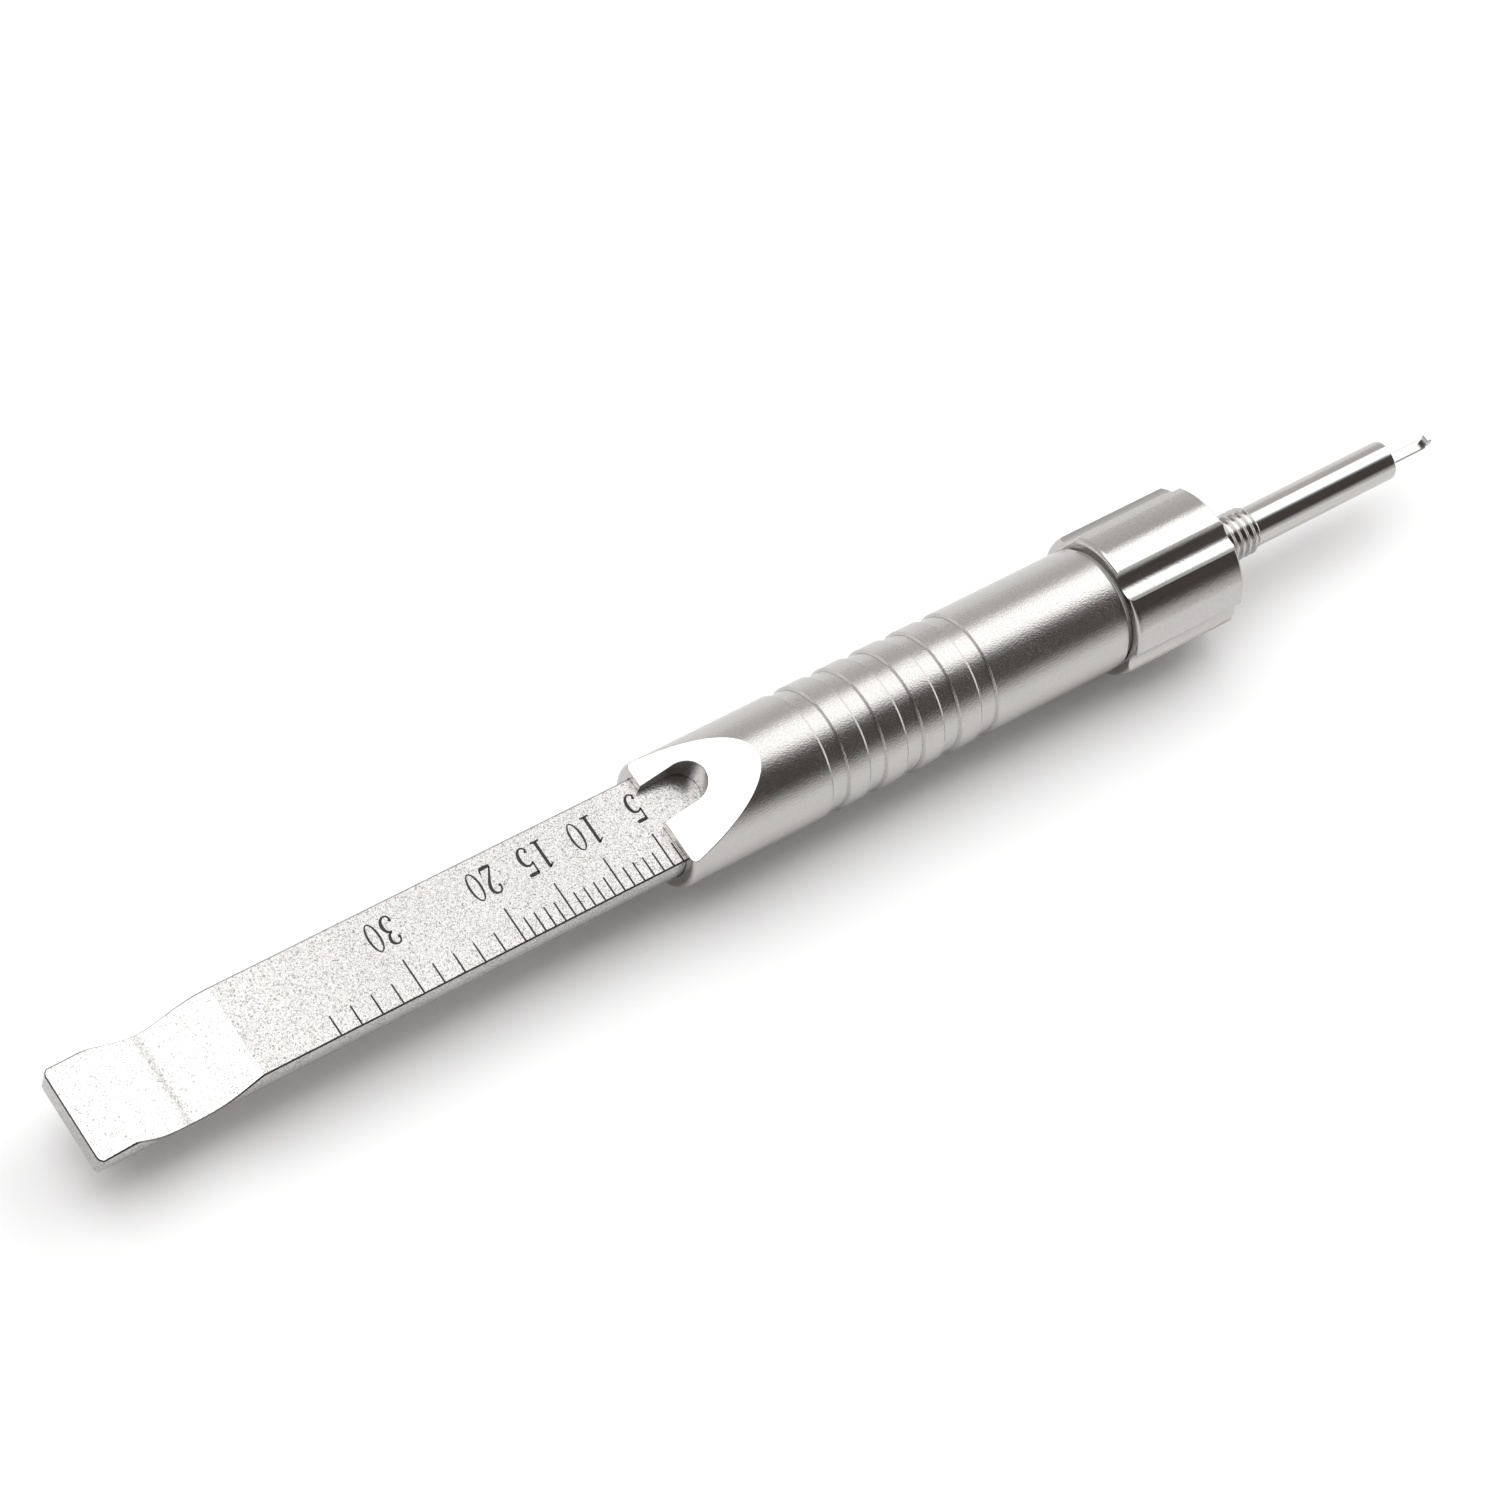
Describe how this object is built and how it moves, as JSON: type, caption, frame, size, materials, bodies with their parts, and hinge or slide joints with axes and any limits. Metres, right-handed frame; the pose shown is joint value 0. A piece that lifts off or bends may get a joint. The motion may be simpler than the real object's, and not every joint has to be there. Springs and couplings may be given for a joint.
{
  "type": "screw depth gauge",
  "caption": "Hand-held screw depth gauge: scale blade sliding in a round grooved barrel, fluted collar, screwed protection sleeve and hooked probe.",
  "frame": {"origin": "centre of the front face of the protection sleeve, the measuring datum", "axes": "+X along the tool towards the hook, +Z square to the scale face, +Y to complete a right-handed frame"},
  "size_m": [0.1456, 0.0133, 0.0134],
  "materials": {
    "barrel_steel": "satin bead-blasted stainless steel",
    "collar_steel": "fine-turned stainless steel, smoother than the barrel",
    "blade_steel": "bead-blasted stainless steel with dark etched marks",
    "sleeve_steel": "polished stainless steel tube",
    "probe_steel": "bright hardened stainless wire",
    "inner_steel": "machined stainless steel",
    "spring_steel": "rolled spring steel",
    "pin_steel": "ground dowel steel",
    "ptfe": "white PTFE",
    "silicone": "red-brown silicone rubber"
  },
  "bodies": {
    "handle": {"handle_barrel": "barrel_steel", "travel_stop_pin": "pin_steel", "brake_spring": "spring_steel", "brake_rivet": "pin_steel", "nose_bushing": "inner_steel", "bushing_pin": "pin_steel", "forward_bumper": "ptfe", "collar_o_ring": "silicone"},
    "slide": {"scale_blade": "blade_steel", "probe_carrier": "inner_steel", "carrier_dowel": "pin_steel", "probe_set_screw": "inner_steel", "hook_probe": "probe_steel"},
    "washer": {"collar_washer": "ptfe"},
    "collar": {"fluted_collar": "collar_steel"},
    "retainer": {"sleeve_retaining_ring": "spring_steel"},
    "sleeve": {"protection_sleeve": "sleeve_steel"}
  },
  "joints": [
    {"name": "blade_slide", "type": "slide", "parent": "handle", "child": "slide", "axis": [1, 0, 0], "range_m": [-0.0038, 0.0342]},
    {"name": "collar_advance", "type": "slide", "parent": "handle", "child": "washer", "axis": [1, 0, 0], "range_m": [0, 0.00375]},
    {"name": "collar_turn", "type": "hinge", "parent": "washer", "child": "collar", "pos_m": [-0.029, 0, 0], "axis": [1, 0, 0], "range_deg": [0, 1800]},
    {"name": "sleeve_advance", "type": "slide", "parent": "collar", "child": "retainer", "axis": [1, 0, 0], "range_m": [-0.00075, 0.0015]},
    {"name": "sleeve_turn", "type": "hinge", "parent": "retainer", "child": "sleeve", "pos_m": [-0.015, 0, 0], "axis": [1, 0, 0], "range_deg": [-360, 720]}
  ],
  "couplings": [
    {"joint": "collar_advance", "follows": "collar_turn", "m_per_rad": 0.00011937},
    {"joint": "sleeve_advance", "follows": "sleeve_turn", "m_per_rad": 0.00011937}
  ]
}
